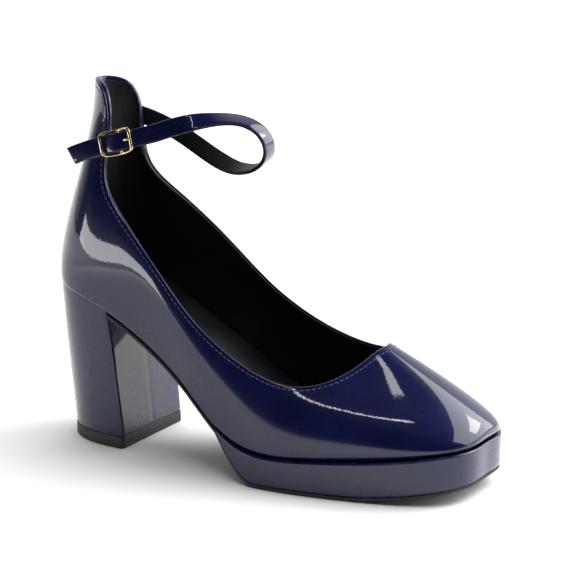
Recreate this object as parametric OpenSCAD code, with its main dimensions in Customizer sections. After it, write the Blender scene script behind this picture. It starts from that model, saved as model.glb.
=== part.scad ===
// Women's high-heel platform pump, right shoe, with a buckled ankle strap.
// X points to the toe, Y to the inner (medial) side, Z up.
// The origin is the centre of the heel tread on the ground.

/* [Upper] */
// Thickness of the patent upper
upper_t = 1.2; // [0.9:0.1:1.4]
// Thickness of the lining
lining_t = 0.8; // [0.6:0.1:1.0]
// Gap taken by the heel stiffener and collar foam
heel_gap = 1.3; // [1.1:0.1:1.5]
// Gap taken by the toe puff
toe_gap = 0.9; // [0.7:0.1:1.1]

/* [Bottom] */
// Thickness of the insole board
board_t = 2.2; // [1.8:0.1:2.4]
// Thickness of the insock foam
foam_t = 1.8; // [1.4:0.1:2.2]
// Thickness of the sock lining
sock_t = 0.8; // [0.6:0.1:1.0]
// Thickness of the outsole
outsole_t = 2.0; // [1.6:0.1:2.4]
// How far the platform stands out beyond the upper
platform_ledge = 2.9; // [2:0.1:3.5]
// Thickness of the platform cover
wrap_t = 1.0; // [0.8:0.1:1.2]
// Toe spring of the tread
toe_spring = 7.0; // [4:0.5:9]

/* [Heel] */
// Height of the top lift
lift_h = 6.0; // [4:0.5:8]
// Half width of the heel at the floor
heel_half_w = 26.5; // [22:0.5:28]
// Length of the heel at the floor
heel_len = 41; // [34:1:44]
// Thickness of the heel cover
heel_cover_t = 1.0; // [0.8:0.1:1.2]

/* [Strap and buckle] */
// Width of the ankle strap
strap_w = 8.6; // [7:0.2:9]
// Thickness of the strap's patent face
strap_t = 1.1; // [0.8:0.1:1.2]
// Thickness of the strap's lining
strap_lining_t = 0.8; // [0.6:0.1:0.9]
// Spacing of the strap holes
hole_pitch = 8.3; // [7:0.1:9]
// Wire diameter of the buckle
wire_d = 1.5; // [1.2:0.1:1.6]
// Wire diameter of the prong
prong_d = 1.2; // [1:0.1:1.3]

/* [Hidden] */
NU = 84;
NV = 9;
$fn = 32;
BUCKLE_AT = [18.2, -22.8, 152.3];
BUCKLE_ROT = [80, -16, 10];
BAR_S = 7.9;
BAR_N = 4.35;
RAIL_W = strap_w / 2 + 0.5 + wire_d / 2;
BREAST_X = 20.4;
OUTSOLE_BACK = 0.362;
PLATFORM_BACK = 0.2475;
CORE_BACK = 0.2425;

// Control rings of the upper, from the toe or throat centre to the back centre.
// Each entry is x, half width and z.
FEATHER = [[199, 0, 25], [200.5, 14, 25], [195, 27, 25], [174, 37, 21], [139, 43.5, 17.5],
           [104, 46, 14.5], [78, 38, 22.5], [55.5, 31, 44], [29.5, 30.5, 62.5],
           [7, 31, 74], [-11.5, 29, 78], [-23, 17, 83], [-24, 0, 85.5]];
WALL = [[212.5, 0, 30.5], [211.5, 13, 29], [205.5, 28.5, 26.5], [184.5, 40.5, 29],
        [150, 46, 29], [113, 47, 29.5], [83, 40.5, 38], [57, 35.5, 60], [31, 34.8, 81],
        [8, 34.4, 95], [-10, 31.5, 100], [-24.5, 18, 105], [-27, 0, 106]];
SHOULDER = [[189, 0, 45], [185.5, 12.5, 45], [177, 24.5, 44], [152, 37.5, 42],
            [122, 43, 38], [97, 43, 43.5], [69.5, 39.5, 56.5], [46.5, 36.5, 81],
            [22.5, 33.2, 103], [0.5, 28, 121], [-3, 20, 137], [-8.5, 10.5, 146],
            [-9.5, 0, 150]];
TOPLINE = [[150.5, 0, 64], [148, 8, 62.5], [142.5, 20.5, 55], [133, 37, 50],
           [117.5, 44.5, 49.5], [94.5, 43, 57.5], [68, 40.5, 73], [44.5, 36, 98],
           [21, 30, 118.5], [5.5, 22, 132.5], [8, 16.5, 153.5], [5, 15.5, 178.5],
           [-16, 0, 177.5]];
// How far the topline leans inward at each of its control points
LEAN = [0, 0, 0.5, 3, 5.5, 5.5, 4.5, 3, 1.5, 0, 0, 0, 0];
FLAT = [for (i = [0:12]) 0];
// How much higher the medial topline runs than the lateral one beside the throat
RISE = [0, 1.2, 3, 2.4, 0.8, 0, 0, 0, 0, 0, 0, 0, 0];

function ease(a, b, x) = let (t = max(0, min(1, (x - a) / (b - a)))) t * t * (3 - 2 * t);
function mix(a, b, t) = a * (1 - t) + b * t;
function unit(v) = v / norm(v);

// The centreline swings inward towards the toe.
function swing(x) = 4 * ease(42, 192, x);
function lateral(p, e) = [p[0] - 0.58 * e, -(p[1] - e), p[2] - 0.3 * e];
function medial(p, e, r) = [p[0] + 0.53 * e, 0.92 * (p[1] - e), p[2] + 0.28 * e + r];
function closed(h, lean, rise) =
    concat([for (i = [0:12]) lateral(h[i], lean[i])],
           [for (i = [11:-1:1]) medial(h[i], lean[i], rise[i])]);
RF = closed(FEATHER, FLAT, FLAT);
RA = closed(WALL, FLAT, FLAT);
RB = closed(SHOULDER, FLAT, FLAT);
RT = closed(TOPLINE, LEAN, RISE);

function blend4(p, q, r, s, t) =
    (pow(1 - t, 3) * p + (3 * pow(t, 3) - 6 * t * t + 4) * q
     + (-3 * pow(t, 3) + 3 * t * t + 3 * t + 1) * r + pow(t, 3) * s) / 6;
function ring(c, u) =
    let (n = len(c), w = (u - floor(u)) * n, i = floor(w),
         q = blend4(c[(i + n - 1) % n], c[i % n], c[(i + 1) % n], c[(i + 2) % n], w - i))
    [q[0], q[1] + swing(q[0]), q[2]];
function feather(u) = ring(RF, u);
function skin(u, v) =
    pow(1 - v, 3) * ring(RF, u) + 3 * v * pow(1 - v, 2) * ring(RA, u)
    + 3 * v * v * (1 - v) * ring(RB, u) + pow(v, 3) * ring(RT, u);
// Outward normal of the upper
function skin_n(u, v) =
    let (e = 0.008, v0 = max(0, v - 0.02), v1 = min(1, v + 0.02))
    unit(cross(skin(u, v1) - skin(u, v0), skin(u + e, v) - skin(u - e, v)));
function inset_skin(u, v, d) = skin(u, v) - d * skin_n(u, v);

// Gap between patent and lining: stiffener and foam at the heel, puff at the toe
function gap(u, v) =
    let (x = skin(u, v)[0])
    0.06 + heel_gap * (1 - ease(14, 42, x)) + toe_gap * ease(160, 184, x);

// Plan normal of the feather line and points offset from it (positive is outward)
function feather_n(u) =
    let (d = feather(u + 0.006) - feather(u - 0.006))
    unit([-d[1], d[0], 0]);
function off_feather(u, d, dz) = feather(u) + d * feather_n(u) + [0, 0, dz];

// Closed sheet of points swept along u: grid[j] is one closed profile
function flat_list(g) = [for (r = g) for (p = r) p];
module tube_loft(grid, wrap) {
    n = len(grid);
    m = len(grid[0]);
    last = wrap ? n - 1 : n - 2;
    half = m / 2;
    sides = [for (j = [0:last]) for (k = [0:m - 1])
             let (a = j * m + k, b = j * m + (k + 1) % m,
                  c = ((j + 1) % n) * m + (k + 1) % m, d = ((j + 1) % n) * m + k)
             each k < half ? [[a, b, c], [a, c, d]] : [[a, b, d], [b, c, d]]];
    cap0 = [for (k = [0:half - 2]) each [[k, m - 1 - k, k + 1],
                                         [k + 1, m - 1 - k, m - 2 - k]]];
    o = (n - 1) * m;
    cap1 = [for (t = cap0) [t[0] + o, t[2] + o, t[1] + o]];
    polyhedron(flat_list(grid), wrap ? sides : concat(sides, cap0, cap1));
}

// Slab between two rows of stations that run from the toe backwards.
// Each station is [lateral top, medial top, lateral bottom, medial bottom].
module slab(st) {
    rows = [for (s = st) [s[0], mix(s[0], s[1], 1 / 3), mix(s[0], s[1], 2 / 3), s[1],
                          s[3], mix(s[3], s[2], 1 / 3), mix(s[3], s[2], 2 / 3), s[2]]];
    tube_loft(rows, false);
}
function slab_station(u, d, top, bottom) =
    let (l = off_feather(u, d, 0), m = off_feather(1 - u, d, 0),
         hl = [0, 0, top], hb = [0, 0, bottom])
    [l + hl, m + hl, l + hb, m + hb];

// Profiles of the shoe's wall
function upper_profile(u) =
    concat([for (k = [NV:-1:0]) skin(u, k / NV)],
           [off_feather(u, -0.9, -upper_t), off_feather(u, -3, -upper_t),
            off_feather(u, -3, -0.05), off_feather(u, -1.4, 0.3)],
           [for (k = [0:NV]) inset_skin(u, max(0.02, k / NV), upper_t)]);
function layer_profile(u, vs, out, inn) =
    concat([for (k = [len(vs) - 1:-1:0]) inset_skin(u, vs[k], out(u, vs[k]))],
           [for (v = vs) inset_skin(u, v, inn(u, v))]);
lining_out = function (u, v) upper_t + gap(u, v);
lining_in = function (u, v) upper_t + gap(u, v) + lining_t;
// Every layer has its stations on the same grid as the upper, so the layers lie parallel.
module wall_layer(j0, j1, vs, out, inn) {
    tube_loft([for (j = [j0:j1]) layer_profile(j / NU, vs(j / NU), out, inn)], false);
}
// The linings start higher up the wall at the toe, where the wall curls under.
function foot(u) = mix(0.24, 1 / NV, ease(0.08, 0.2, u > 0.5 ? 1 - u : abs(u)));
lining_vs = function (u)
    concat([foot(u), mix(foot(u), 3 / NV, 0.5)], [for (k = [3:NV - 1]) k / NV], [0.992]);

module upper() {
    color([0.03, 0.04, 0.12])
        tube_loft([for (j = [0:NU - 1]) upper_profile(j / NU)], true);
}
module vamp_lining() {
    color([0.03, 0.03, 0.03])
        wall_layer(-18, 18, lining_vs, lining_out, lining_in);
}
module quarter_lining() {
    color([0.03, 0.03, 0.03])
        wall_layer(18, 66, lining_vs, lining_out, lining_in);
}
module heel_counter() {
    color([0.75, 0.7, 0.6])
        wall_layer(31, 53, function (u) [for (k = [1:4]) k / NV],
                   function (u, v) upper_t + 0.12,
                   function (u, v) upper_t + gap(u, v) - 0.12);
}
module toe_puff() {
    color([0.8, 0.78, 0.7])
        wall_layer(-8, 8, function (u) [for (k = [2:4]) k / NV],
                   function (u, v) upper_t + 0.12,
                   function (u, v) upper_t + gap(u, v) - 0.12);
}
module collar_foam() {
    color([0.2, 0.2, 0.2])
        wall_layer(34, 50, function (u) [5 / NV, 6 / NV, 7 / NV, 8 / NV, 0.97],
                   function (u, v) upper_t + 0.12,
                   function (u, v) upper_t + gap(u, v) - 0.12);
}
module topline_facing() {
    color([0.03, 0.04, 0.12])
        wall_layer(33, 51, function (u) [8 / NV, 0.992],
                   function (u, v) lining_in(u, v) + 0.03,
                   function (u, v) lining_in(u, v) + 0.63);
}

// Ground line, outsole top and platform outline
function tread_z(x) = toe_spring * pow(max(0, x - 140) / 60, 2);
RAMP_TOP = feather(PLATFORM_BACK)[2] - upper_t - 0.1;
RAMP_X = feather(PLATFORM_BACK)[0];
RAMP_FRONT = 104;
function sole_top(p) =
    p[0] > RAMP_FRONT ? tread_z(p[0]) + outsole_t
    : p[0] > RAMP_X ? outsole_t + (RAMP_TOP - outsole_t)
                      * pow((RAMP_FRONT - p[0]) / (RAMP_FRONT - RAMP_X), 1.5)
    : p[2] - upper_t - 0.1;
function ledge(x) = mix(0.3, platform_ledge, ease(70, 108, x));
// Stations shared by the outsole, the core and the cover: tread, ramp, waist
RAMP_U = 0.2102;
TREAD_US = [for (k = [0:26]) mix(0.004, RAMP_U, k / 26)];
RAMP_US = [for (k = [1:9]) mix(RAMP_U, PLATFORM_BACK, k / 9)];
WAIST_US = [for (k = [1:14]) mix(PLATFORM_BACK, OUTSOLE_BACK - 0.0013, k / 14)];
function sole_station(u) =
    let (d = ledge(feather(u)[0]) - 0.5, l = off_feather(u, d, 0),
         m = off_feather(1 - u, d, 0), z = sole_top([l[0], 0, feather(u)[2]]),
         ramp = l[0] > RAMP_X && l[0] < RAMP_FRONT,
         t = outsole_t * (ramp ? 1.35 : l[0] <= RAMP_X ? 1.15 : 1),
         b = max(tread_z(l[0]), z - t))
    [[l[0], l[1], z], [m[0], m[1], z], [l[0], l[1], b], [m[0], m[1], b]];
module outsole() {
    color([0.04, 0.04, 0.04])
        slab([for (u = concat(TREAD_US, RAMP_US, WAIST_US)) sole_station(u)]);
}

function sole_gap(x) = mix(0.4, 0.08, ease(100, 106, x));
function core_station(u) =
    let (o = ledge(feather(u)[0]), d = o - min(wrap_t, o * 0.45) - 0.5,
         l = off_feather(u, d, 0), m = off_feather(1 - u, d, 0),
         top = feather(u)[2] - upper_t - 0.3,
         b = min(top - 0.6, sole_top([l[0], 0, feather(u)[2]]) + sole_gap(l[0])))
    [[l[0], l[1], top], [m[0], m[1], top], [l[0], l[1], b], [m[0], m[1], b]];
module platform_core() {
    color([0.25, 0.22, 0.2])
        slab([for (u = concat(TREAD_US, RAMP_US)) if (u < CORE_BACK) core_station(u)]);
}
// The cover wraps the platform wall and turns in over its ledge.
function cover_profile(u) =
    let (x = feather(u)[0], o = ledge(x), top = feather(u)[2] - upper_t + 0.75,
         at = off_feather(u, o - 0.5, 0)[0],
         b = min(top - 0.9, sole_top([at, 0, feather(u)[2]]) + sole_gap(at)),
         w = min(wrap_t, o * 0.45), z = feather(u)[2],
         p = function (d, h) off_feather(u, d, h - z))
    [p(o - 0.5, top), p(o, top - 0.5), p(o, mix(top, b, 0.5)), p(o - 0.3, b),
     p(o - 0.3 - w, b), p(o - w, mix(top, b, 0.5)), p(o - w, top - 0.8),
     p(0.35, top - 0.6)];
module platform_cover() {
    us = [for (u = concat(TREAD_US, RAMP_US)) if (u < CORE_BACK) u];
    n = len(us);
    color([0.03, 0.04, 0.12])
        tube_loft([for (j = [1 - n:n - 1]) cover_profile(j < 0 ? -us[-j] : j > 0 ? us[j] : 0)],
                  false);
}

module insole_board() {
    n = 44;
    color([0.55, 0.42, 0.28])
        slab([for (j = [0:n])
              slab_station(mix(0.006, 0.494, j / n), -3.6, 0.1 + board_t, 0.1)]);
}
module bottom_filler() {
    n = 22;
    color([0.45, 0.33, 0.22])
        slab([for (j = [0:n])
              slab_station(mix(0.05, 0.22, j / n), -3.6, 0, 0.2 - upper_t)]);
}
// Rise of the insock under the arch
function arch(x, w) = 2.6 * exp(-pow((x - 66) / 20, 2)) * (0.35 + 0.65 * w);
function sock_station(u, d, low, thick) =
    let (l = off_feather(u, d, low), m = off_feather(1 - u, d, low), x = l[0],
         t = thick)
    [for (w = [0, 1 / 3, 2 / 3, 1]) mix(l, m, w) + [0, 0, t + arch(x, w)]];
function sock_rows(d, low, thick) =
    [for (j = [0:44])
     let (u = mix(0.006, 0.494, j / 44), top = sock_station(u, d, low, thick),
          bot = sock_station(u, d, low, 0))
     concat(top, [bot[3], bot[2], bot[1], bot[0]])];
module insock_foam() {
    low = 0.15 + board_t;
    rows = [for (j = [0:44])
            let (u = mix(0.006, 0.494, j / 44), top = sock_station(u, -3.8, low, foam_t),
                 l = off_feather(u, -3.8, low), m = off_feather(1 - u, -3.8, low))
            concat(top, [m, mix(m, l, 1 / 3), mix(m, l, 2 / 3), l])];
    color([0.3, 0.3, 0.3])
        tube_loft(rows, false);
}
module sock_lining() {
    color([0.05, 0.05, 0.05])
        tube_loft(sock_rows(-3.8, 0.2 + board_t + foam_t, sock_t), false);
}

// Steel shank under the board, from the heel seat to the ball
SHANK_A = 0.235;
SHANK_B = 0.384;
module shank() {
    n = 20;
    rows = [for (j = [0:n])
            let (u = mix(SHANK_A, SHANK_B, j / n), c = mix(feather(u), feather(1 - u), 0.5),
                 w = 6 * (0.7 + 0.3 * sin(180 * j / n)))
            [c + [0, -w, 0.02], c + [0, w, 0.02], c + [0, w, -1], c + [0, -w, -1]]];
    color([0.6, 0.6, 0.62])
        tube_loft(rows, false);
}
module shank_rivets() {
    color([0.7, 0.7, 0.72])
        for (u = [0.255, 0.372]) {
            translate(mix(feather(u), feather(1 - u), 0.5) + [0, 0, -0.1])
                cylinder(d = 2.8, h = board_t - 0.55);
        }
}

// Heel: D-shaped sections, floor to seat
HEEL_N = 44;
function floor_d(f, d) =
    let (a = 180 * f)
    [BREAST_X - d - (heel_len - 2 * d) * pow(sin(a), 0.78),
     -(heel_half_w + 0.5 - d) * cos(a) * (1 - 0.03 * sin(a)), 0];
function seat_d(f, d) = off_feather(mix(OUTSOLE_BACK, 1 - OUTSOLE_BACK, f), -d - 0.1,
                                    -upper_t - 0.1);
function heel_point(f, t, d) =
    let (a = floor_d(f, d) + [0, 0, lift_h + 0.05], b = seat_d(f, d) - [0, 0, d > 0 ? 0.4 : 0],
         out = 0.6 * sin(180 * t) * sin(180 * f))
    mix(a, b, t) - [out, 0, 0];
function heel_ring(t, d) =
    let (a = heel_point(1, t, d), b = heel_point(0, t, d))
    concat([for (k = [0:HEEL_N]) heel_point(k / HEEL_N, t, d)],
           [for (k = [1:7]) mix(a, b, k / 8)]);
module heel_block() {
    m = 10;
    pts = [for (j = [0:m]) heel_ring(j / m, heel_cover_t + 0.05)];
    color([0.15, 0.15, 0.15])
        stack(pts);
}
// Solid from stacked rings; the caps join lateral to medial points straight across.
module stack(pts) {
    n = len(pts);
    m = len(pts[0]);
    sides = [for (j = [0:n - 2]) for (k = [0:m - 1])
             let (a = j * m + k, b = j * m + (k + 1) % m, c = a + m, d = b + m)
             each [[a, c, d], [a, d, b]]];
    // ring order: back curve 0..HEEL_N, then the breast back to the start
    low = concat([for (k = [1:HEEL_N / 2 - 1])
                  each [[k, k + 1, HEEL_N - k], [k + 1, HEEL_N - k - 1, HEEL_N - k]]],
                 [[1, m - 1, 0]],
                 [for (k = [HEEL_N - 1:m - 2]) [1, k, k + 1]]);
    caps = [for (t = low) if (t[0] != t[1] && t[1] != t[2] && t[0] != t[2]) t];
    o = (n - 1) * m;
    top = [for (t = caps) [t[0] + o, t[2] + o, t[1] + o]];
    polyhedron(flat_list(pts), concat(sides, caps, top));
}
module heel_cover() {
    m = 10;
    out = [for (j = [0:m]) heel_ring(j / m, 0)];
    inn = [for (j = [0:m]) heel_ring(1 - j / m, heel_cover_t)];
    k = len(out[0]);
    grid = [for (i = [0:k - 1]) concat([for (r = out) r[i]], [for (r = inn) r[i]])];
    color([0.03, 0.04, 0.12])
        tube_loft(grid, true);
}
module top_lift() {
    color([0.05, 0.05, 0.05])
        linear_extrude(lift_h)
            polygon([for (k = [0:HEEL_N]) [floor_d(k / HEEL_N, 0.1)[0],
                                           floor_d(k / HEEL_N, 0.1)[1]]]);
}
module heel_screw() {
    z = seat_z(-3) + board_t - 1.3;
    color([0.7, 0.7, 0.72])
        translate([-3, 0, z - 30])
            union() {
                cylinder(d = 4, h = 30);
                translate([0, 0, 28.6])
                    cylinder(d = 7, h = 1.4);
            }
}
function seat_u(x) = x > 5 ? mix(0.36, 0.38, (15.3 - x) / 10.1) : mix(0.38, 0.42, (5.2 - x) / 16.7);
function seat_z(x) = feather(seat_u(x))[2];
module heel_nails() {
    color([0.7, 0.7, 0.72])
        for (p = [[8, -12], [8, 12], [-8, -10], [-8, 10]]) {
            translate([p[0], p[1], seat_z(p[0]) + board_t - 16.5])
                cylinder(d = 2, h = 16);
        }
}

// Strap: the path is given as x, y, z and twist, from the buckle round to the anchor.
// Near the buckle it runs through the frame in buckle coordinates (s, w, n).
function buckle_dir(p) =
    let (a = BUCKLE_ROT[0], b = BUCKLE_ROT[1], c = BUCKLE_ROT[2],
         y = p[1] * cos(a) - p[2] * sin(a), z = p[1] * sin(a) + p[2] * cos(a),
         x2 = p[0] * cos(b) + z * sin(b), z2 = -p[0] * sin(b) + z * cos(b))
    [x2 * cos(c) - y * sin(c), x2 * sin(c) + y * cos(c), z2];
function from_buckle(p) = BUCKLE_AT + buckle_dir(p);
function weave(s) = 2.5 + (abs(s) < BAR_S ? 0.75 * cos(180 * s / BAR_S) : -0.75);
TAIL_S = -9.5;
LOOP = [[41.7, -20.3, 159.8, 10], [46.2, -19.1, 161.5, 14], [52.4, -15.5, 163.4, 34], [59, -11.1, 164.7, 56],
        [65.5, -6.6, 165.2, 70], [72, -2.2, 164.8, 78], [78.5, 1, 162.4, 82],
        [83.3, 3.6, 157.5, 84], [84.6, 5.8, 151, 84], [82, 8, 145, 83],
        [76.5, 10, 140.4, 80], [69, 12, 137.8, 74], [60.5, 13.8, 137.2, 62],
        [52, 15.6, 139.2, 46], [44, 17, 142.2, 32], [36, 18.3, 145.8, 20],
        [28, 19.2, 149.4, 10], [20, 19.4, 152.8, 4], [12.5, 18.6, 155.6, 2],
        [6, 17.6, 157.6, 2], [0, 16.2, 159, 2], [-5, 13.6, 159.8, 2]];
CLASP = [for (s = [TAIL_S + 0.05, -7, -5, -3, -1, 1, 3, 5, 7, 9, 12, 16, 20])
         concat(from_buckle([s, 0, weave(s)]), 8)];
PATH = concat([CLASP[0]], CLASP, LOOP, [LOOP[len(LOOP) - 1]]);
function path_at(t) =
    let (n = len(PATH), w = min(n - 3.001, max(0, t)), i = floor(w))
    blend4(PATH[max(0, i)], PATH[i + 1], PATH[i + 2], PATH[min(n - 1, i + 3)], w - i);
function path_xyz(t) = let (p = path_at(t)) [p[0], p[1], p[2]];
function path_frame(t) =
    let (d = unit(path_xyz(t + 0.1) - path_xyz(t - 0.1)), a = path_at(t)[3],
         up = [0, sin(a), cos(a)], w = unit(up - (up * d) * d))
    [w, cross(d, w)];
function ribbon_row(t, lo, hi) =
    let (p = path_xyz(t), f = path_frame(t), h = strap_w / 2)
    [p - h * f[0] + lo * f[1], p + h * f[0] + lo * f[1],
     p + h * f[0] + hi * f[1], p - h * f[0] + hi * f[1]];
T_END = len(PATH) - 3.01;
module ribbon(lo, hi) {
    n = 120;
    tube_loft([for (j = [0:n]) ribbon_row(mix(0.12, T_END, j / n), lo, hi)], false);
}
module holes() {
    for (i = [-0.5, 1.5]) {
        translate(from_buckle([hole_pitch * i, 0, -2]))
            rotate(BUCKLE_ROT)
                cylinder(d = 1.7, h = 10);
    }
    translate(BUCKLE_AT)
        rotate(BUCKLE_ROT)
            for (s = [3.1, 4.9]) {
                translate([s, 0, -2])
                    cylinder(d = 2.2, h = 10);
            }
    translate(BUCKLE_AT)
        rotate(BUCKLE_ROT)
            translate([3.1, -1.1, -2])
                cube([1.8, 2.2, 10]);
}
module strap_outer() {
    color([0.03, 0.04, 0.12])
        difference() {
            ribbon(0.01, strap_t);
            holes();
        }
}
module strap_lining() {
    color([0.04, 0.04, 0.04])
        difference() {
            ribbon(-strap_lining_t, 0);
            holes();
        }
}
// Free end of the strap beyond the buckle, with a slanted end and a slight droop
function tail_row(f, lo, hi) =
    let (h = strap_w / 2, s = function (w) TAIL_S - 0.35 - f * (16.4 + 1.5 * w / h),
         droop = -1.4 * f * f, base = weave(-9),
         p = function (w, n) from_buckle([s(w), w + droop, base + n - 1.2 * f * f]))
    [p(-h, lo), p(h, lo), p(h, hi), p(-h, hi)];
module tail(lo, hi) {
    tube_loft([for (j = [0:10]) tail_row(1 - j / 10, lo, hi)], false);
}
module strap_tail() {
    color([0.03, 0.04, 0.12])
        tail(0.01, strap_t);
}
module strap_tail_lining() {
    color([0.04, 0.04, 0.04])
        tail(-strap_lining_t, 0);
}

// Buckle tab: sewn to the counter, wraps the bar and folds back on itself.
TAB = [[-19.5, -6.3], [-17, -6.1], [-14.5, -5.8], [-12, -5], [-9.6, -3], [-7, -1.2],
       [-4.5, 0.3], [-2.2, 1.4], [0, 1.75], [1.5, 0.95], [1.8, 0], [1.5, -1], [0, -1.75],
       [-2, -1.7], [-4.2, -1.75], [-6.4, -2.7], [-8.2, -4.2]];
function tab_at(t) =
    let (n = len(TAB), w = min(n - 1.001, max(0, t)), i = floor(w))
    blend4(TAB[max(0, i - 1)], TAB[i], TAB[min(n - 1, i + 1)], TAB[min(n - 1, i + 2)], w - i);
module buckle_tab() {
    n = 60;
    rows = [for (j = [0:n])
            let (t = mix(0, len(TAB) - 1.01, j / n), p = tab_at(t),
                 d = unit(tab_at(t + 0.05) - tab_at(t - 0.05)), q = [-d[1], d[0]] * 0.42,
                 a = p + q, b = p - q, h = strap_w / 2)
            [from_buckle([a[0], -h, a[1]]), from_buckle([a[0], h, a[1]]),
             from_buckle([b[0], h, b[1]]), from_buckle([b[0], -h, b[1]])]];
    color([0.03, 0.04, 0.12])
        difference() {
            tube_loft(rows, false);
            translate(BUCKLE_AT)
                rotate(BUCKLE_ROT)
                    translate([-2.8, -1.2, -4])
                        cube([6, 2.4, 8]);
        }
}

// Buckle: a bowed wire frame on a centre bar, and the prong
function corner(a) = let (c = cos(a), s = sin(a))
    [sign(c) * pow(abs(c), 0.32), sign(s) * pow(abs(s), 0.32)];
module buckle_frame() {
    n = 64;
    rows = [for (j = [0:n - 1])
            let (a = 360 * j / n, p = corner(a), q = corner(a + 1), b = corner(a - 1),
                 at = function (c) [BAR_S * c[0], RAIL_W * c[1], BAR_N * pow(abs(c[0]), 1.6)],
                 d = unit(at(q) - at(b)), side = unit(cross(d, [0, 0, 1])),
                 up = cross(side, d))
            [for (k = [0:9]) from_buckle(at(p) + wire_d / 2
                                         * (cos(36 * k) * side + sin(36 * k) * up))]];
    color([0.8, 0.62, 0.3])
        tube_loft(rows, true);
}
module buckle_bar() {
    color([0.8, 0.62, 0.3])
        translate(BUCKLE_AT)
            rotate(BUCKLE_ROT)
                rotate([90, 0, 0])
                    cylinder(d = wire_d, h = 2 * RAIL_W, center = true);
}
PRONG = [[0, 1.5], [1.1, 1.2], [2.1, 1.1], [3.1, 1.6], [3.9, 3], [4.5, 4.5], [5.4, 5.5],
         [6.8, 5.85], [8.2, 5.85], [9.3, 5.75]];
function prong_at(t) =
    let (n = len(PRONG), w = min(n - 1.001, max(0, t)), i = floor(w))
    blend4(PRONG[max(0, i - 1)], PRONG[i], PRONG[min(n - 1, i + 1)],
           PRONG[min(n - 1, i + 2)], w - i);
module buckle_prong() {
    n = 36;
    rows = [for (j = [0:n])
            let (t = mix(0, len(PRONG) - 1.01, j / n), p = prong_at(t),
                 d = unit(prong_at(t + 0.05) - prong_at(t - 0.05)), q = [-d[1], d[0]],
                 r = prong_d / 2 * (1 - 0.35 * pow(j / n, 6)))
            [for (k = [0:11]) let (e = r * cos(30 * k))
             from_buckle([p[0] + e * q[0], r * sin(30 * k), p[1] + e * q[1]])]];
    color([0.8, 0.62, 0.3])
        union() {
            tube_loft(rows, false);
            translate(BUCKLE_AT)
                rotate(BUCKLE_ROT)
                    rotate([90, 0, 0])
                        rotate_extrude()
                            translate([1.5, 0])
                                circle(d = prong_d);
        }
}

top_lift();
heel_block();
heel_cover();
heel_nails();
heel_screw();
outsole();
platform_core();
platform_cover();
insole_board();
shank();
shank_rivets();
bottom_filler();
insock_foam();
sock_lining();
upper();
vamp_lining();
quarter_lining();
heel_counter();
toe_puff();
collar_foam();
topline_facing();
strap_outer();
strap_lining();
strap_tail();
strap_tail_lining();
buckle_tab();
buckle_frame();
buckle_bar();
buckle_prong();
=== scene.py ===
import math

import bpy
import numpy as np
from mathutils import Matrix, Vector


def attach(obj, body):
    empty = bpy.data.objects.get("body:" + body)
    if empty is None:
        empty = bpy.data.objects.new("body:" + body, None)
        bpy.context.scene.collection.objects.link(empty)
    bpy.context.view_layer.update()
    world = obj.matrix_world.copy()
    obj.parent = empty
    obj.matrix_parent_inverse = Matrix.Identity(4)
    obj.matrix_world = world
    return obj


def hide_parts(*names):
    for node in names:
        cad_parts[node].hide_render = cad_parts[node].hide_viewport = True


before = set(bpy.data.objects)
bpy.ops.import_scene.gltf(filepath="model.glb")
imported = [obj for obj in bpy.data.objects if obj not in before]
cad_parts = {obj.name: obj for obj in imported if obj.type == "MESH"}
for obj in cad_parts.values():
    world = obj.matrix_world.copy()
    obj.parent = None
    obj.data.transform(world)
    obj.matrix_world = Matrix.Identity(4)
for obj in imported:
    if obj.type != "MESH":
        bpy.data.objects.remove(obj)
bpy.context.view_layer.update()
MM = 0.001

# ---------------------------------------------------------------- camera
CAM_AZ, CAM_EL = 29.8, 14.53
cam_data = bpy.data.cameras.new("camera")
cam_data.sensor_width = 36.0
cam_data.lens = 160.34
cam_data.clip_start = 0.05
cam_data.clip_end = 50.0
cam = bpy.data.objects.new("camera", cam_data)
bpy.context.scene.collection.objects.link(cam)
cam.location = (0.6773, -1.0147, 0.3899)
cam.rotation_euler = (math.radians(90 - CAM_EL), 0, math.radians(CAM_AZ))
bpy.context.scene.camera = cam

# ---------------------------------------------------------------- shape of the shoe (mm)
FEATHER = [(199, 0, 25), (200.5, 14, 25), (195, 27, 25), (174, 37, 21), (139, 43.5, 17.5),
           (104, 46, 14.5), (78, 38, 22.5), (55.5, 31, 44), (29.5, 30.5, 62.5), (7, 31, 74),
           (-11.5, 29, 78), (-23, 17, 83), (-24, 0, 85.5)]
WALL = [(212.5, 0, 30.5), (211.5, 13, 29), (205.5, 28.5, 26.5), (184.5, 40.5, 29),
        (150, 46, 29), (113, 47, 29.5), (83, 40.5, 38), (57, 35.5, 60), (31, 34.8, 81),
        (8, 34.4, 95), (-10, 31.5, 100), (-24.5, 18, 105), (-27, 0, 106)]
SHOULDER = [(189, 0, 45), (185.5, 12.5, 45), (177, 24.5, 44), (152, 37.5, 42), (122, 43, 38),
            (97, 43, 43.5), (69.5, 39.5, 56.5), (46.5, 36.5, 81), (22.5, 33.2, 103),
            (0.5, 28, 121), (-3, 20, 137), (-8.5, 10.5, 146), (-9.5, 0, 150)]
TOPLINE = [(150.5, 0, 64), (148, 8, 62.5), (142.5, 20.5, 55), (133, 37, 50),
           (117.5, 44.5, 49.5), (94.5, 43, 57.5), (68, 40.5, 73), (44.5, 36, 98),
           (21, 30, 118.5), (5.5, 22, 132.5), (8, 16.5, 153.5), (5, 15.5, 178.5),
           (-16, 0, 177.5)]
LEAN = [0, 0, 0.5, 3, 5.5, 5.5, 4.5, 3, 1.5, 0, 0, 0, 0]
RISE = [0, 1.2, 3, 2.4, 0.8, 0, 0, 0, 0, 0, 0, 0, 0]
FLAT = [0] * 13
UPPER_T = 1.2
LINING_T = 0.8
BOARD_T, FOAM_T, SOCK_T = 2.2, 1.8, 0.8
SOLE_T = 2.0
LEDGE = 2.9


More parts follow.
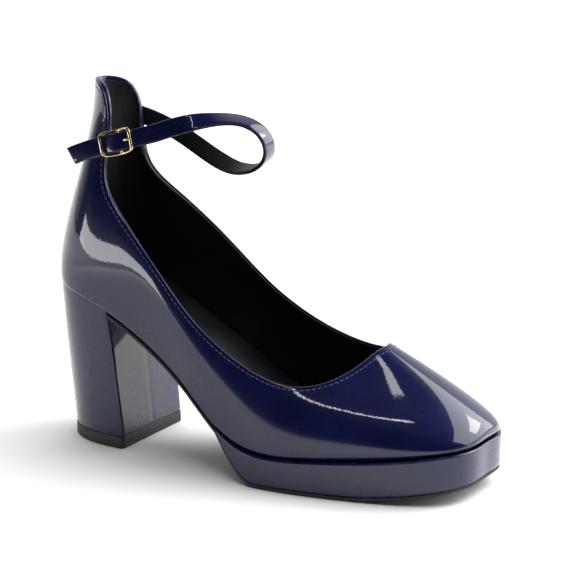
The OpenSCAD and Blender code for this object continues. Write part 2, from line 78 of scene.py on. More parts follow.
def ease(a, b, x):
    t = np.clip((np.asarray(x, float) - a) / (b - a), 0, 1)
    return t * t * (3 - 2 * t)


def mix(a, b, t):
    return a * (1 - t) + b * t


def unit(v):
    v = np.asarray(v, float)
    return v / np.maximum(np.linalg.norm(v, axis=-1, keepdims=True), 1e-12)


def closed(h, lean, rise):
    lat = [(x - 0.58 * e, -(y - e), z - 0.3 * e) for (x, y, z), e in zip(h, lean)]
    med = [(x + 0.53 * e, 0.92 * (y - e), z + 0.28 * e + r)
           for (x, y, z), e, r in list(zip(h, lean, rise))[1:-1][::-1]]
    return np.array(lat + med, float)


RF = closed(FEATHER, FLAT, FLAT)
RA = closed(WALL, FLAT, FLAT)
RB = closed(SHOULDER, FLAT, FLAT)
RT = closed(TOPLINE, LEAN, RISE)


def bspline(p, t):
    t = np.asarray(t)[..., None]
    return ((1 - t) ** 3 * p[0] + (3 * t ** 3 - 6 * t * t + 4) * p[1]
            + (-3 * t ** 3 + 3 * t * t + 3 * t + 1) * p[2] + t ** 3 * p[3]) / 6


def ring(c, u):
    n = len(c)
    w = (np.asarray(u, float) % 1.0) * n
    i = np.floor(w).astype(int)
    q = bspline([c[(i + k - 1) % n] for k in range(4)], w - i)
    q[..., 1] += 4 * ease(42, 192, q[..., 0])
    return q


def feather(u):
    return ring(RF, u)


def skin(u, v):
    u, v = np.broadcast_arrays(np.asarray(u, float), np.asarray(v, float))
    w = v[..., None]
    return ((1 - w) ** 3 * ring(RF, u) + 3 * w * (1 - w) ** 2 * ring(RA, u)
            + 3 * w * w * (1 - w) * ring(RB, u) + w ** 3 * ring(RT, u))


def skin_n(u, v):
    u, v = np.broadcast_arrays(np.asarray(u, float), np.asarray(v, float))
    e = 0.006
    v0, v1 = np.clip(v - 0.015, 0, 1), np.clip(v + 0.015, 0, 1)
    return unit(np.cross(skin(u, v1) - skin(u, v0), skin(u + e, v) - skin(u - e, v)))


def gap(u, v):
    x = skin(u, v)[..., 0]
    return 0.06 + 1.3 * (1 - ease(14, 42, x)) + 0.9 * ease(160, 184, x)


def feather_n(u):
    d = feather(np.asarray(u) + 0.006) - feather(np.asarray(u) - 0.006)
    return unit(np.stack([-d[..., 1], d[..., 0], np.zeros_like(d[..., 0])], -1))


def off_feather(u, d, dz=0.0):
    q = feather(u) + np.asarray(d)[..., None] * feather_n(u)
    q[..., 2] += dz
    return q


def edge_frame(u):
    """Point, outward normal and upward direction along the topline."""
    p = skin(u, 1.0)
    n = skin_n(u, 1.0)
    du = unit(skin(u + 0.004, 1.0) - skin(u - 0.004, 1.0))
    t = unit(np.cross(du, n))
    back = p - skin(u, 0.97)
    s = np.sign(np.sum(t * back, -1, keepdims=True))
    return p, n, t * s


# ---------------------------------------------------------------- node materials
class Mat:
    """Small helper that builds one node material."""

    def __init__(self, name):
        self.m = bpy.data.materials.new(name)
        self.m.use_nodes = True
        self.t = self.m.node_tree
        self.b = self.t.nodes["Principled BSDF"]
        self.co = self.t.nodes.new("ShaderNodeTexCoord").outputs["Object"]

    def node(self, kind, **inputs):
        n = self.t.nodes.new(kind)
        for k, v in inputs.items():
            n.inputs[k.replace("_", " ")].default_value = v
        return n

    def link(self, a, b):
        self.t.links.new(a, b)

    def noise(self, scale, detail=3.0, rough=0.5, stretch=None):
        n = self.node("ShaderNodeTexNoise", Scale=scale, Detail=detail, Roughness=rough)
        src = self.co
        if stretch:
            m = self.node("ShaderNodeMapping", Scale=stretch)
            self.link(src, m.inputs["Vector"])
            src = m.outputs["Vector"]
        self.link(src, n.inputs["Vector"])
        return n.outputs["Fac"]

    def ramp(self, fac, stops):
        r = self.t.nodes.new("ShaderNodeValToRGB")
        els = r.color_ramp.elements
        while len(els) < len(stops):
            els.new(0.5)
        for e, (pos, col) in zip(els, stops):
            e.position = pos
            e.color = (*col, 1) if len(col) == 3 else col
        self.link(fac, r.inputs["Fac"])
        return r.outputs["Color"]

    def grey(self, fac, lo, hi):
        r = self.node("ShaderNodeMapRange", To_Min=lo, To_Max=hi)
        self.link(fac, r.inputs["Value"])
        return r.outputs["Result"]

    def bump(self, height, strength, distance, target="Normal", after=None):
        b = self.node("ShaderNodeBump", Strength=strength, Distance=distance)
        self.link(height, b.inputs["Height"])
        if after is not None:
            self.link(after, b.inputs["Normal"])
        self.link(b.outputs["Normal"], self.b.inputs[target])
        return b.outputs["Normal"]

    def set(self, **kw):
        for k, v in kw.items():
            self.b.inputs[k.replace("_", " ")].default_value = v
        return self


def patent(name, dark=(0.0035, 0.005, 0.036), light=(0.0060, 0.0085, 0.056), wave=0.35):
    m = Mat(name).set(Coat_Weight=0.95, Coat_Roughness=0.02, Coat_IOR=1.5, IOR=1.45,
                      Specular_IOR_Level=0.12)
    m.link(m.ramp(m.noise(45, 4), [(0.3, dark), (0.7, light)]), m.b.inputs["Base Color"])
    m.link(m.grey(m.noise(160, 3), 0.22, 0.34), m.b.inputs["Roughness"])
    wide = m.bump(m.noise(38, 1.0), wave, 0.0003, "Coat Normal")
    fine = m.node("ShaderNodeBump", Strength=0.10, Distance=0.0001)
    m.link(m.noise(900, 2), fine.inputs["Height"])
    m.link(wide, fine.inputs["Normal"])
    m.link(fine.outputs["Normal"], m.b.inputs["Coat Normal"])
    m.link(fine.outputs["Normal"], m.b.inputs["Normal"])
    return m.m


def leather(name, dark, light, rough=(0.42, 0.6), grain=420, depth=0.5):
    m = Mat(name).set(IOR=1.45)
    m.link(m.ramp(m.noise(60, 4), [(0.3, dark), (0.75, light)]), m.b.inputs["Base Color"])
    m.link(m.grey(m.noise(90, 3), *rough), m.b.inputs["Roughness"])
    v = m.node("ShaderNodeTexVoronoi", Scale=grain)
    m.link(m.co, v.inputs["Vector"])
    n1 = m.bump(v.outputs["Distance"], depth, 0.00025)
    m.bump(m.noise(1500, 3), 0.25, 0.0001, after=n1)
    return m.m


def rubber(name, dark, light, rough=(0.5, 0.68)):
    m = Mat(name).set(IOR=1.5)
    m.link(m.ramp(m.noise(70, 4), [(0.3, dark), (0.75, light)]), m.b.inputs["Base Color"])
    m.link(m.grey(m.noise(220, 3), *rough), m.b.inputs["Roughness"])
    n1 = m.bump(m.noise(700, 4), 0.35, 0.0002)
    m.bump(m.noise(2600, 2), 0.3, 0.0001, after=n1)
    return m.m


def metal(name, colour, worn, rough=(0.08, 0.2)):
    m = Mat(name).set(Metallic=1.0)
    m.link(m.ramp(m.noise(300, 4), [(0.35, worn), (0.65, colour)]), m.b.inputs["Base Color"])
    m.link(m.grey(m.noise(500, 4), *rough), m.b.inputs["Roughness"])
    m.bump(m.noise(900, 3), 0.08, 0.00008)
    return m.m


PATENT = patent("navy_patent")
PATENT_STRAP = patent("navy_patent_strap", wave=0.15)
LINING = leather("black_lining", (0.0022, 0.0022, 0.0025), (0.006, 0.006, 0.007))
INSOCK = leather("black_insock", (0.004, 0.004, 0.0046), (0.012, 0.012, 0.014),
                 (0.26, 0.42), 700, 0.35)
SOLE = rubber("black_sole", (0.006, 0.006, 0.006), (0.016, 0.016, 0.016))
LIFT = rubber("black_lift", (0.010, 0.010, 0.010), (0.024, 0.024, 0.023))
GOLD = metal("pale_gold", (0.83, 0.66, 0.40), (0.62, 0.46, 0.25))
STEEL = metal("plain_steel", (0.6, 0.6, 0.62), (0.4, 0.4, 0.42), (0.25, 0.45))
THREAD = leather("navy_thread", (0.035, 0.04, 0.10), (0.12, 0.135, 0.24), (0.3, 0.45), 3000, 0.8)
BOARD = leather("fibre_board", (0.25, 0.16, 0.09), (0.42, 0.30, 0.18), (0.7, 0.85), 1200, 0.4)
FOAM = leather("grey_foam", (0.1, 0.1, 0.1), (0.2, 0.2, 0.2), (0.8, 0.95), 1500, 0.6)


# ---------------------------------------------------------------- mesh helpers
def make(name, verts, faces, mat, body="shoe", slot=None, cad=(), smooth=True):
    me = bpy.data.meshes.new(name)
    me.from_pydata((np.asarray(verts) * MM).tolist(), [], faces)
    me.validate()
    me.update()
    if smooth:
        me.polygons.foreach_set("use_smooth", [True] * len(me.polygons))
    ob = bpy.data.objects.new(name, me)
    bpy.context.scene.collection.objects.link(ob)
    ob.data.materials.append(mat)
    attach(ob, body)
    if cad:
        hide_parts(*cad)
    return ob


def grid_faces(n, m, wrap_u, wrap_v, base=0):
    f = []
    for j in range(n if wrap_u else n - 1):
        for k in range(m if wrap_v else m - 1):
            a, b = j * m + k, j * m + (k + 1) % m
            c, d = ((j + 1) % n) * m + (k + 1) % m, ((j + 1) % n) * m + k
            f.append((base + a, base + d, base + c, base + b))
    return f


def grid(name, p, mat, wrap_u=False, wrap_v=False, caps=False, **kw):
    n, m = p.shape[:2]
    f = grid_faces(n, m, wrap_u, wrap_v)
    if caps:
        f.append(tuple(range(m)))
        f.append(tuple(reversed(range((n - 1) * m, n * m))))
    return make(name, p.reshape(-1, 3), f, mat, **kw)


def capsules(name, ends, radius, mat, flat=0.6, **kw):
    """Short rounded threads; ends is a list of (start, end, up)."""
    verts, faces = [], []
    for a, b, up in ends:
        d = unit(b - a)
        s = unit(np.cross(d, up))
        w = np.cross(s, d)
        base = len(verts)
        rows = [(0.0, 0.25), (0.12, 0.8), (0.3, 1.0), (0.7, 1.0), (0.88, 0.8), (1.0, 0.25)]
        for t, r in rows:
            for k in range(8):
                e = math.pi * k / 4
                verts.append(mix(a, b, t) + radius * r * (math.cos(e) * s
                                                          + flat * math.sin(e) * w))
        faces += grid_faces(len(rows), 8, False, True, base)
        faces.append(tuple(base + k for k in range(8)))
        faces.append(tuple(base + 5 * 8 + k for k in reversed(range(8))))
    return make(name, np.array(verts), faces, mat, **kw)


# ---------------------------------------------------------------- upper
NU, NV = 288, 54
U = np.arange(NU) / NU
vs = np.linspace(0, 1, NV)
EDGE_T = 1.25
p_edge, n_edge, t_edge = edge_frame(U)
outer = skin(U[:, None], vs[None, :])
tuck = np.stack([off_feather(U, np.full(NU, -6.0), -0.55),
                 off_feather(U, np.full(NU, -1.2), -0.5),
                 off_feather(U, np.full(NU, -0.35), -0.22)], 1)
centre = p_edge - n_edge * EDGE_T / 2
roll = np.stack([centre + EDGE_T / 2 * (math.cos(a) * n_edge + math.sin(a) * t_edge)
                 for a in np.linspace(0, math.pi, 9)[1:]], 1)
inner = np.stack([skin(U, v) - EDGE_T * skin_n(U, v) for v in (0.985, 0.96, 0.92, 0.86)], 1)
grid("upper_skin", np.concatenate([tuck, outer, roll, inner], 1), PATENT, wrap_u=True,
     slot="patent", cad=("upper",))


def lining_foot(u):
    a = np.where(u > 0.5, 1 - u, np.abs(u))
    return mix(0.24, 0.06, ease(0.08, 0.2, a))


gap1 = gap(U, np.ones(NU))
lin_t = gap1 + LINING_T - 0.1
lin_c = p_edge - n_edge * (EDGE_T + 0.08 + lin_t / 2)[:, None] - t_edge * 0.25
lin_roll = np.stack([lin_c + (lin_t / 2)[:, None] * math.cos(a) * n_edge
                     + np.minimum(lin_t / 2, 0.8)[:, None] * math.sin(a) * t_edge
                     for a in np.linspace(0, math.pi, 9)], 1)
lv = np.linspace(0, 1, 40)
foot = lining_foot(U)
lin_v = 0.985 + (foot - 0.985)[:, None] * lv[None, :]
lin_in = skin(U[:, None], lin_v) - (UPPER_T + gap(U[:, None], lin_v) + LINING_T)[..., None] \
    * skin_n(U[:, None], lin_v)
grid("lining_skin", np.concatenate([lin_roll, lin_in], 1), LINING, wrap_u=True, slot="lining",
     cad=("vamp_lining", "quarter_lining"))

# Patent facing that wraps the lining's edge on the counter tab
TAB_FROM, TAB_TO, TAB_N = 0.386, 0.614, 72
fu = np.linspace(TAB_FROM, TAB_TO, TAB_N)
fp, fn, ft = edge_frame(fu)
fg = gap(fu, np.ones(TAB_N))
f_t = (fg + LINING_T) * (0.25 + 0.75 * np.clip(np.sin(math.pi * (fu - 0.386) / 0.228) * 3, 0, 1))
fc = fp - fn * (EDGE_T + 0.12 + f_t / 2)[:, None] - ft * 0.1
rows = [fc + (f_t / 2 + 0.12)[:, None] * math.cos(a) * fn
        + (0.95 * math.sin(a)) * ft for a in np.linspace(0, math.pi, 11)]
for v in (0.992, 0.987, 0.982):
    rows.append(skin(fu, v) - (UPPER_T + gap(fu, v) + LINING_T + 0.28)[:, None] * skin_n(fu, v))
rows.append(skin(fu, 0.979) - (UPPER_T + gap(fu, 0.979) + LINING_T - 0.1)[:, None]
            * skin_n(fu, 0.979))
grid("tab_facing", np.stack(rows, 1), PATENT, slot="patent", cad=("topline_facing",))

# Stitching just below the topline
along = np.linspace(0, 1, 4001)[:-1]
line = skin(along, 1.0)
arc = np.concatenate([[0], np.cumsum(np.linalg.norm(np.diff(line, axis=0), axis=1))])
PITCH, STITCH_L = 2.75, 2.0
ends = []
for i in range(int(arc[-1] / PITCH)):
    ua = np.interp(i * PITCH, arc, along)
    ub = np.interp(i * PITCH + STITCH_L, arc, along)
    pts = []
    for q in (ua, ub):
        q = np.array([q])
        depth = 2.4 / max(1.0, np.linalg.norm((skin(q, 1.0) - skin(q, 0.9))[0]) / 0.1)
        pts.append((skin(q, 1 - depth) + 0.06 * skin_n(q, 1 - depth))[0])
    ends.append((pts[0], pts[1], skin_n(np.array([ua]), 0.97)[0]))
capsules("topline_stitch", ends, 0.26, THREAD, slot="patent")

# ---------------------------------------------------------------- insock
SOCK_N, SOCK_INSET = 90, -3.3
su = np.linspace(0.004, 0.496, SOCK_N)
sw = np.linspace(0, 1, 31)
low = 0.2 + BOARD_T + FOAM_T
sock_d = np.full(SOCK_N, SOCK_INSET)
sl, sm = off_feather(su, sock_d, low), off_feather(1 - su, sock_d, low)


def arch(x, w):
    return 2.6 * np.exp(-((x - 66) / 20) ** 2) * (0.35 + 0.65 * w)


top = sl[:, None] * (1 - sw[None, :, None]) + sm[:, None] * sw[None, :, None]
side = np.minimum(sw, 1 - sw)[None, :] * np.linalg.norm(sm - sl, axis=1)[:, None]
top[..., 2] += SOCK_T + arch(top[..., 0], sw[None, :]) - 0.7 * (1 - ease(0, 2.2, side))
sock = grid("insock_pad", top, INSOCK, slot="lining", cad=("sock_lining", "insock_foam"))


# ---------------------------------------------------------------- sole and platform
def tread_z(x):
    return 7.0 * (np.maximum(0, x - 140) / 60) ** 2


PLATFORM_BACK = 0.2475
RAMP_X, RAMP_TOP = feather(PLATFORM_BACK)[0], feather(PLATFORM_BACK)[2] - UPPER_T - 0.1
RAMP_FRONT = 104


def sole_top(x, z):
    run = np.clip((RAMP_FRONT - x) / (RAMP_FRONT - RAMP_X), 0, 1)
    ramp = SOLE_T + (RAMP_TOP - SOLE_T) * run ** 1.5
    return np.where(x > RAMP_FRONT, tread_z(x) + SOLE_T,
                    np.where(x > RAMP_X, ramp, z - UPPER_T - 0.1))


def ledge(x):
    return mix(0.3, LEDGE, ease(70, 108, x))


ou = np.linspace(0.003, 0.362, 130)
xo = feather(ou)[:, 0]
d_sole = ledge(xo) - 0.5
lat, med = off_feather(ou, d_sole), off_feather(1 - ou, d_sole)
zt = sole_top(lat[:, 0], feather(ou)[:, 2])
on_ramp = (lat[:, 0] > RAMP_X) & (lat[:, 0] < RAMP_FRONT)
zb = np.maximum(tread_z(lat[:, 0]),
                zt - SOLE_T * np.where(on_ramp, 1.35, np.where(lat[:, 0] <= RAMP_X, 1.15, 1)))


def sole_loop(inset, z):
    a = lat + unit(med - lat) * inset
    b = med - unit(med - lat) * inset
    w = np.linspace(0, 1, 9)[None, :, None]
    q = a[:, None] * (1 - w) + b[:, None] * w
    q[..., 2] = z[:, None]
    return q


SOLE_R = 0.45
prof = np.concatenate([sole_loop(SOLE_R, zt), sole_loop(0, zt - SOLE_R)[:, ::-1][:, :1],
                       sole_loop(0, zb + SOLE_R)[:, ::-1][:, :1], sole_loop(SOLE_R, zb)[:, ::-1],
                       sole_loop(0, zb + SOLE_R)[:, :1], sole_loop(0, zt - SOLE_R)[:, :1]], 1)
grid("outsole_rubber", prof, SOLE, wrap_v=True, caps=True, slot="sole_rubber",
     cad=("outsole",))

WALL_N = 240
pu = np.linspace(-PLATFORM_BACK, PLATFORM_BACK, WALL_N)
px = feather(pu)[:, 0]
pz = feather(pu)[:, 2]
o = ledge(px)
top_z = pz - UPPER_T + 0.75
bot_z = np.minimum(top_z - 0.9, sole_top(px, pz) + 0.03)


def wall(d, z):
    q = off_feather(pu, d)
    q[:, 2] = z
    return q


rr = np.minimum(0.9, o * 0.4)
cols = [wall(np.full(WALL_N, -1.0), top_z - 0.45), wall(o * 0.1, top_z - 0.25),
        wall(o - rr * 1.6, top_z - 0.05)]
cols += [wall(o - rr + rr * math.sin(a), top_z - rr + rr * math.cos(a))
         for a in np.linspace(0, math.pi / 2, 7)]
for t in np.linspace(0.12, 0.94, 9):
    cols.append(wall(o - 0.3 * t ** 2, mix(top_z, bot_z, t)))
cols += [wall(o - 0.5, bot_z + 0.05), wall(o - 1.4, bot_z)]
grid("platform_wrap", np.stack(cols, 1), PATENT, slot="patent", cad=("platform_cover",))

# ---------------------------------------------------------------- heel
HEEL_N = 120


def floor_d(f, d):
    a = math.pi * f
    return np.stack([20.4 - d - (41 - 2 * d) * np.sin(a) ** 0.78,
                     -(27 - d) * np.cos(a) * (1 - 0.03 * np.sin(a)), 0 * f], -1)


def heel_point(f, t, d, low_z):
    a = floor_d(f, d) + np.array([0, 0, low_z])
    b = off_feather(mix(0.362, 0.638, f), np.full(f.shape, -d - 0.1), -UPPER_T + 0.9)
    q = mix(a, b, t)
    q[..., 0] -= 0.6 * math.sin(math.pi * t) * np.sin(math.pi * f)
    return q


def heel_ring(t, d, low_z=6.2, seam=True):
    f = np.linspace(0, 1, HEEL_N + 1)
    back = heel_point(f, t, d, low_z)
    w = np.linspace(0, 1, 60)[1:-1][:, None]
    front = back[-1] * (1 - w) + back[0] * w
    if seam:
        near = np.abs(front[:, 1] - 0.6) / 0.55
        front[:, 0] -= 0.45 * np.exp(-near ** 2)
    return np.concatenate([back, front])


def soften(q, passes):
    """Rounds the corners of a closed ring by averaging neighbours."""
    for _ in range(passes):
        q = (np.roll(q, 1, 0) + 2 * q + np.roll(q, -1, 0)) / 4
    return q


ts = [0, 0.006, 0.015] + list(np.linspace(0.04, 0.97, 30)) + [0.99, 1.0]
rings_h = []
for i, t in enumerate(ts):
    inset = 0.35 if i == 0 else 0.1 if i == 1 else 0
    rings_h.append(soften(heel_ring(t, inset), 2))
grid("heel_wrap", np.stack(rings_h, 1), PATENT, wrap_u=True, slot="patent",
     cad=("heel_cover",))

rows = []
for z, d in ((5.95, 0.5), (5.8, 0.12), (5.5, 0.02), (0.5, 0.0), (0.12, 0.15), (0.0, 0.5)):
    rows.append(soften(heel_ring(0, d, z, False), 1))
h = np.stack(rows, 1)
n, m = h.shape[:2]
make("heel_lift", h.reshape(-1, 3),
     grid_faces(n, m, True, False) + [tuple(j * m for j in range(n)),
                                      tuple(j * m + m - 1 for j in reversed(range(n)))],
     LIFT, slot="tread_rubber", cad=("top_lift",))

# ---------------------------------------------------------------- strap and buckle
B_AT = np.array([18.2, -22.8, 152.3])
B_ROT = [math.radians(a) for a in (80, -16, 10)]
STRAP_W, STRAP_T, STRAP_L = 8.6, 1.1, 0.8
BAR_S, BAR_N, WIRE = 7.9, 4.35, 1.5
RAIL_W = STRAP_W / 2 + 0.5 + WIRE / 2
TAIL_S = -9.5


def buckle(p):
    p = np.asarray(p, float)
    a, b, c = B_ROT
    y = p[..., 1] * math.cos(a) - p[..., 2] * math.sin(a)
    z = p[..., 1] * math.sin(a) + p[..., 2] * math.cos(a)
    x2 = p[..., 0] * math.cos(b) + z * math.sin(b)
    z2 = -p[..., 0] * math.sin(b) + z * math.cos(b)
    return B_AT + np.stack([x2 * math.cos(c) - y * math.sin(c),
                            x2 * math.sin(c) + y * math.cos(c), z2], -1)


def weave(s):
    return 2.5 + (0.75 * math.cos(math.pi * s / BAR_S) if abs(s) < BAR_S else -0.75)


LOOP = [(41.7, -20.3, 159.8, 10), (46.2, -19.1, 161.5, 14), (52.4, -15.5, 163.4, 34),
        (59, -11.1, 164.7, 56), (65.5, -6.6, 165.2, 70), (72, -2.2, 164.8, 78), (78.5, 1, 162.4, 82),
        (83.3, 3.6, 157.5, 84), (84.6, 5.8, 151, 84), (82, 8, 145, 83), (76.5, 10, 140.4, 80),
        (69, 12, 137.8, 74), (60.5, 13.8, 137.2, 62), (52, 15.6, 139.2, 46),
        (44, 17, 142.2, 32), (36, 18.3, 145.8, 20), (28, 19.2, 149.4, 10),
        (20, 19.4, 152.8, 4), (12.5, 18.6, 155.6, 2), (6, 17.6, 157.6, 2), (0, 16.2, 159, 2),
        (-5, 13.6, 159.8, 2)]
CLASP = [tuple(buckle([s, 0, weave(s)])) + (8,)
         for s in (TAIL_S + 0.05, -7, -5, -3, -1, 1, 3, 5, 7, 9, 12, 16, 20)]
PATH = np.array([CLASP[0]] + CLASP + LOOP + [LOOP[-1]], float)


def path_at(t):
    n = len(PATH)
    w = np.clip(np.asarray(t, float), 0, n - 3.001)
    i = np.floor(w).astype(int)
    return bspline([PATH[np.clip(i + k, 0, n - 1)] for k in range(4)], w - i)


def path_frame(t):
    p = path_at(t)
    d = unit((path_at(t + 0.08) - path_at(t - 0.08))[..., :3])
    a = np.radians(p[..., 3])
    up = np.stack([0 * a, np.sin(a), np.cos(a)], -1)
    w = unit(up - np.sum(up * d, -1, keepdims=True) * d)
    return p[..., :3], w, np.cross(d, w)


T_END = len(PATH) - 3.01


def section(lo, hi, crown):
    """Rounded cross-section of a strap layer as (across, out) pairs."""
    h = STRAP_W / 2
    rad = (hi - lo) * 0.45
    pts = [(-h + rad, lo), (0, lo), (h - rad, lo)]
    pts += [(h - rad + rad * math.sin(a), lo + rad - rad * math.cos(a))
            for a in (0.5, 1.1, 1.57)]
    pts += [(h - rad + rad * math.cos(a), hi - rad + rad * math.sin(a))
            for a in (0.0, 0.5, 1.1, 1.57)]
    pts += [(w * (h - rad), hi + crown * (1 - w * w))
            for w in (0.75, 0.5, 0.25, 0, -0.25, -0.5, -0.75)]
    pts += [(-h + rad - rad * math.cos(a), hi - rad + rad * math.sin(a))
            for a in (1.57, 1.1, 0.5, 0.0)]
    pts += [(-h + rad - rad * math.sin(a), lo + rad - rad * math.cos(a))
            for a in (1.57, 1.1, 0.5)]
    return pts


def ribbon(name, lo, hi, crown, mat, **kw):
    t = np.linspace(0.12, T_END, 420)
    p, w, n = path_frame(t)
    cols = [p + a * w + b * n for a, b in section(lo, hi, crown)]
    return grid(name, np.stack(cols, 1), mat, wrap_v=True, caps=True, **kw)


ribbon("strap_face", 0.01, STRAP_T, 0.12, PATENT_STRAP, slot="patent", cad=("strap_outer",))
ribbon("strap_back", -STRAP_L, 0.0, 0.0, LINING, slot="lining", cad=("strap_lining",))


def tail(name, lo, hi, crown, mat, **kw):
    f = np.linspace(1, 0, 30)
    cols = []
    for a, b in section(lo, hi, crown):
        s = TAIL_S - 0.02 - f * (16.4 + 1.5 * a / (STRAP_W / 2))
        cols.append(buckle(np.stack([s, a - 1.4 * f * f, weave(-9) + b - 1.2 * f * f], -1)))
    return grid(name, np.stack(cols, 1), mat, wrap_v=True, caps=True, body="strap_end", **kw)


tail("strap_end_face", 0.01, STRAP_T, 0.12, PATENT_STRAP, slot="patent", cad=("strap_tail",))
tail("strap_end_back", -STRAP_L, 0.0, 0.0, LINING, slot="lining", cad=("strap_tail_lining",))

TAB = [(-19.5, -6.3), (-17, -6.1), (-14.5, -5.8), (-12, -5), (-9.6, -3), (-7, -1.2),
       (-4.5, 0.3), (-2.2, 1.4), (0, 1.75), (1.5, 0.95), (1.8, 0), (1.5, -1), (0, -1.75),
       (-2, -1.7), (-4.2, -1.75), (-6.4, -2.7), (-8.2, -4.2)]


def spline2(points, t):
    p = np.array(points, float)
    n = len(p)
    w = np.clip(np.asarray(t, float), 0, n - 1.001)
    i = np.floor(w).astype(int)
    return bspline([p[np.clip(i + k - 1, 0, n - 1)] for k in range(4)], w - i)


t = np.linspace(0, len(TAB) - 1.01, 120)
c = spline2(TAB, t)
d = unit(spline2(TAB, t + 0.05) - spline2(TAB, t - 0.05))
q = np.stack([-d[:, 1], d[:, 0]], -1)
cols = []
for a, b in section(-0.42, 0.42, 0.0):
    e = c + b * q
    cols.append(buckle(np.stack([e[:, 0], np.full(120, a), e[:, 1]], -1)))
grid("buckle_loop", np.stack(cols, 1), PATENT_STRAP, wrap_v=True, caps=True, slot="patent",
     cad=("buckle_tab",))


def corner(a):
    c, s = math.cos(a), math.sin(a)
    return np.array([math.copysign(abs(c) ** 0.32, c), math.copysign(abs(s) ** 0.32, s)])


def frame_at(a):
    c = corner(a)
    return np.array([BAR_S * c[0], RAIL_W * c[1], BAR_N * abs(c[0]) ** 1.6])


FN = 160
raw = np.array([frame_at(2 * math.pi * j / 720) for j in range(720)])
seg = np.linalg.norm(np.roll(raw, -1, 0) - raw, axis=1)
cum = np.concatenate([[0], np.cumsum(seg)])
raw = np.vstack([raw, raw[:1]])
even = np.stack([np.interp(np.linspace(0, cum[-1], FN + 1)[:-1], cum, raw[:, k])
                 for k in range(3)], -1)
even = soften(even, 2)
dirs = unit(np.roll(even, -1, 0) - np.roll(even, 1, 0))
sides = unit(np.cross(dirs, [0, 0, 1]))
ups = np.cross(sides, dirs)
cols = [buckle(even + WIRE / 2 * (math.cos(e) * sides + 0.85 * math.sin(e) * ups))
        for e in np.linspace(0, 2 * math.pi, 17)[:-1]]
grid("buckle_ring", np.stack(cols, 1), GOLD, wrap_u=True, wrap_v=True, body="buckle",
     slot="gold", cad=("buckle_frame",))

a = np.linspace(0, 2 * math.pi, 25)[:-1]
bar = [buckle(np.stack([0.66 * np.cos(a), np.full(24, w), 0.66 * np.sin(a)], -1))
       for w in np.linspace(-RAIL_W, RAIL_W, 12)]
grid("buckle_axle", np.stack(bar, 0), GOLD, wrap_v=True, caps=True, body="buckle",
     slot="gold", cad=("buckle_bar",))

PRONG = [(0, 1.5), (1.1, 1.2), (2.1, 1.1), (3.1, 1.6), (3.9, 3), (4.5, 4.5), (5.4, 5.5),
         (6.8, 5.85), (8.2, 5.85), (9.3, 5.75)]
t = np.linspace(0, len(PRONG) - 1.01, 80)
c = spline2(PRONG, t)
d = unit(spline2(PRONG, t + 0.05) - spline2(PRONG, t - 0.05))
q = np.stack([-d[:, 1], d[:, 0]], -1)
rad = 0.6 * (1 - 0.35 * (t / t[-1]) ** 6)
cols = []
for e in np.linspace(0, 2 * math.pi, 17)[:-1]:
    a = (rad * math.cos(e))[:, None] * q
    cols.append(buckle(np.stack([c[:, 0] + a[:, 0], 1.15 * rad * math.sin(e),
                                 c[:, 1] + a[:, 1]], -1)))
grid("prong_pin", np.stack(cols, 1), GOLD, wrap_v=True, caps=True, body="prong", slot="gold",
     cad=("buckle_prong",))
a = np.linspace(0, 2 * math.pi, 49)[:-1]
cols = []
for e in np.linspace(0, 2 * math.pi, 17)[:-1]:
    rr2 = 1.5 + 0.6 * math.cos(e)
    cols.append(buckle(np.stack([rr2 * np.cos(a), np.full(48, 0.6 * math.sin(e)),
                                 rr2 * np.sin(a)], -1)))
grid("prong_eye", np.stack(cols, 1), GOLD, wrap_u=True, wrap_v=True, body="prong", slot="gold")

# ---------------------------------------------------------------- carried-over CAD nodes
CARRIED = {"heel_block": SOLE, "heel_nails": STEEL, "heel_screw": STEEL, "platform_core": BOARD,
           "insole_board": BOARD, "shank": STEEL, "shank_rivets": STEEL, "bottom_filler": FOAM,
           "heel_counter": BOARD, "toe_puff": BOARD, "collar_foam": FOAM}
for node, mat in CARRIED.items():
    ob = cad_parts[node]
    if not ob.material_slots:
        ob.data.materials.append(mat)
    for s in ob.material_slots:
        s.material = mat


# ---------------------------------------------------------------- floor and studio light
VIEW_DIR = (-math.sin(math.radians(CAM_AZ)), math.cos(math.radians(CAM_AZ)), 0.0)


def floor_material():
    """White floor painted dark grey some way in front of the shoe on the camera's side as painted
    shade, with a painted glow behind the shoe that grows with distance.
    """
    m = Mat("floor").set(Roughness=0.9, Specular_IOR_Level=0.1)
    along = m.t.nodes.new("ShaderNodeVectorMath")
    along.operation = "DOT_PRODUCT"
    along.inputs[1].default_value = VIEW_DIR
    m.link(m.co, along.inputs[0])
    # Painted shade: the floor colour goes from white to dark grey on the camera's side of the shoe.
    front_shade_ramp = m.node("ShaderNodeMapRange", From_Min=-0.36, From_Max=-0.21, To_Min=0.0, To_Max=1.0)
    m.link(along.outputs["Value"], front_shade_ramp.inputs["Value"])
    m.link(m.ramp(front_shade_ramp.outputs["Result"], [(0, (0.10, 0.10, 0.11)), (1, (0.94, 0.94, 0.94))]),
           m.b.inputs["Base Color"])
    dist = m.t.nodes.new("ShaderNodeVectorMath")
    dist.operation = "LENGTH"
    m.link(m.co, dist.inputs[0])
    # Painted glow: behind the shoe the floor emits light that grows with distance, keeping it white.
    far_glow_ramp = m.node("ShaderNodeMapRange", From_Min=0.35, From_Max=1.0, To_Min=0.0, To_Max=0.6)
    m.link(dist.outputs["Value"], far_glow_ramp.inputs["Value"])
    painted_glow = m.node("ShaderNodeMath")
    painted_glow.operation = "MULTIPLY"
    m.link(far_glow_ramp.outputs["Result"], painted_glow.inputs[0])
    m.link(front_shade_ramp.outputs["Result"], painted_glow.inputs[1])
    m.b.inputs["Emission Color"].default_value = (1, 1, 1, 1)
    m.link(painted_glow.outputs["Value"], m.b.inputs["Emission Strength"])
    m.bump(m.noise(400, 2), 0.02, 0.0001)
    return m.m


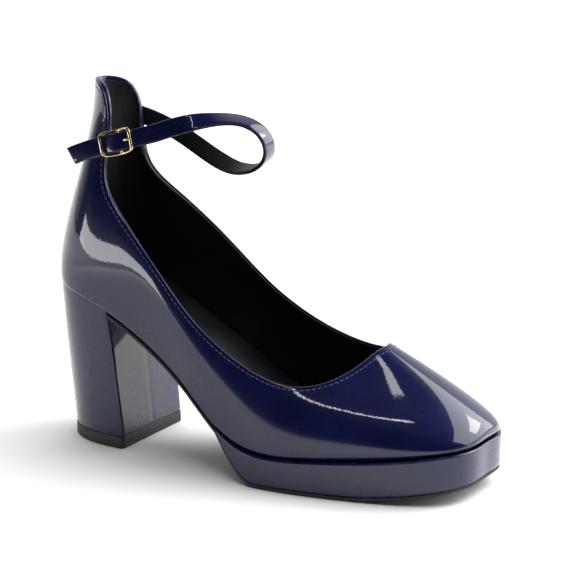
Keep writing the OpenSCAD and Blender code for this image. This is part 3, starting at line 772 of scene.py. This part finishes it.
FLOOR_HALF, FLOOR_Z = 8.0, -0.0002
me = bpy.data.meshes.new("floor")
me.from_pydata([(x * FLOOR_HALF, y * FLOOR_HALF, FLOOR_Z)
                for x, y in ((-1, -1), (1, -1), (1, 1), (-1, 1))], [], [(0, 1, 2, 3)])
floor = bpy.data.objects.new("floor", me)
bpy.context.scene.collection.objects.link(floor)
floor.data.materials.append(floor_material())


def lamp(name, kind, loc, aim, power, size=(1, 1), glossy=True, colour=(1, 1, 1)):
    d = bpy.data.lights.new(name, kind)
    d.energy = power
    d.color = colour
    if kind == "AREA":
        d.shape = "RECTANGLE"
        d.size, d.size_y = size
    else:
        d.angle = math.radians(size[0])
    ob = bpy.data.objects.new(name, d)
    bpy.context.scene.collection.objects.link(ob)
    ob.location = loc
    ob.rotation_euler = (Vector(aim) - Vector(loc)).to_track_quat("-Z", "Y").to_euler()
    ob.visible_glossy = glossy
    return ob


TOE = (0.185, 0.0, 0.04)
lamp("overhead", "SUN", (0.15, 0.35, 1.5), (0.08, 0, 0.0), 2.5, (70, 70), glossy=False)
card = lamp("quarter_card", "AREA", (-0.42, -0.42, 0.085), (0.03, -0.03, 0.10), 0.55,
            (0.34, 0.075))
card.rotation_euler.rotate_axis("Z", math.radians(-16))
lamp("toe_window", "AREA", (0.72, 0.46, 0.50), TOE, 11, (1.0, 0.90))
lamp("toe_glow", "AREA", (0.50, 0.44, 0.42), TOE, 0.9, (0.20, 0.18))
lamp("throat_card", "AREA", (0.22, 0.10, 1.25), (0.15, 0, 0.06), 0.22, (0.10, 0.10))
strip = lamp("strip", "AREA", (0.10, -0.68, 1.22), (0.10, -0.68, 0), 1.3, (1.25, 0.022))
strip.rotation_euler = (0, 0, math.radians(62))

# The backdrop behind the shoe is bright and the room on the camera's side is dark
world = bpy.data.worlds.new("studio")
bpy.context.scene.world = world
world.use_nodes = True
wt = world.node_tree
bg = wt.nodes["Background"]
tc = wt.nodes.new("ShaderNodeTexCoord")
dot = wt.nodes.new("ShaderNodeVectorMath")
dot.operation = "DOT_PRODUCT"
dot.inputs[1].default_value = (-0.45, 0.86, 0.0)
wt.links.new(tc.outputs["Generated"], dot.inputs[0])
side_ramp = wt.nodes.new("ShaderNodeValToRGB")
side_ramp.color_ramp.elements[0].position = 0.22
side_ramp.color_ramp.elements[0].color = (0.012, 0.012, 0.014, 1)
side_ramp.color_ramp.elements[1].position = 0.72
side_ramp.color_ramp.elements[1].color = (1.0, 1.0, 1.0, 1)
wt.links.new(dot.outputs["Value"], side_ramp.inputs["Fac"])
wt.links.new(side_ramp.outputs["Color"], bg.inputs["Color"])
bg.inputs["Strength"].default_value = 1.0
bpy.context.scene.view_settings.view_transform = "Standard"
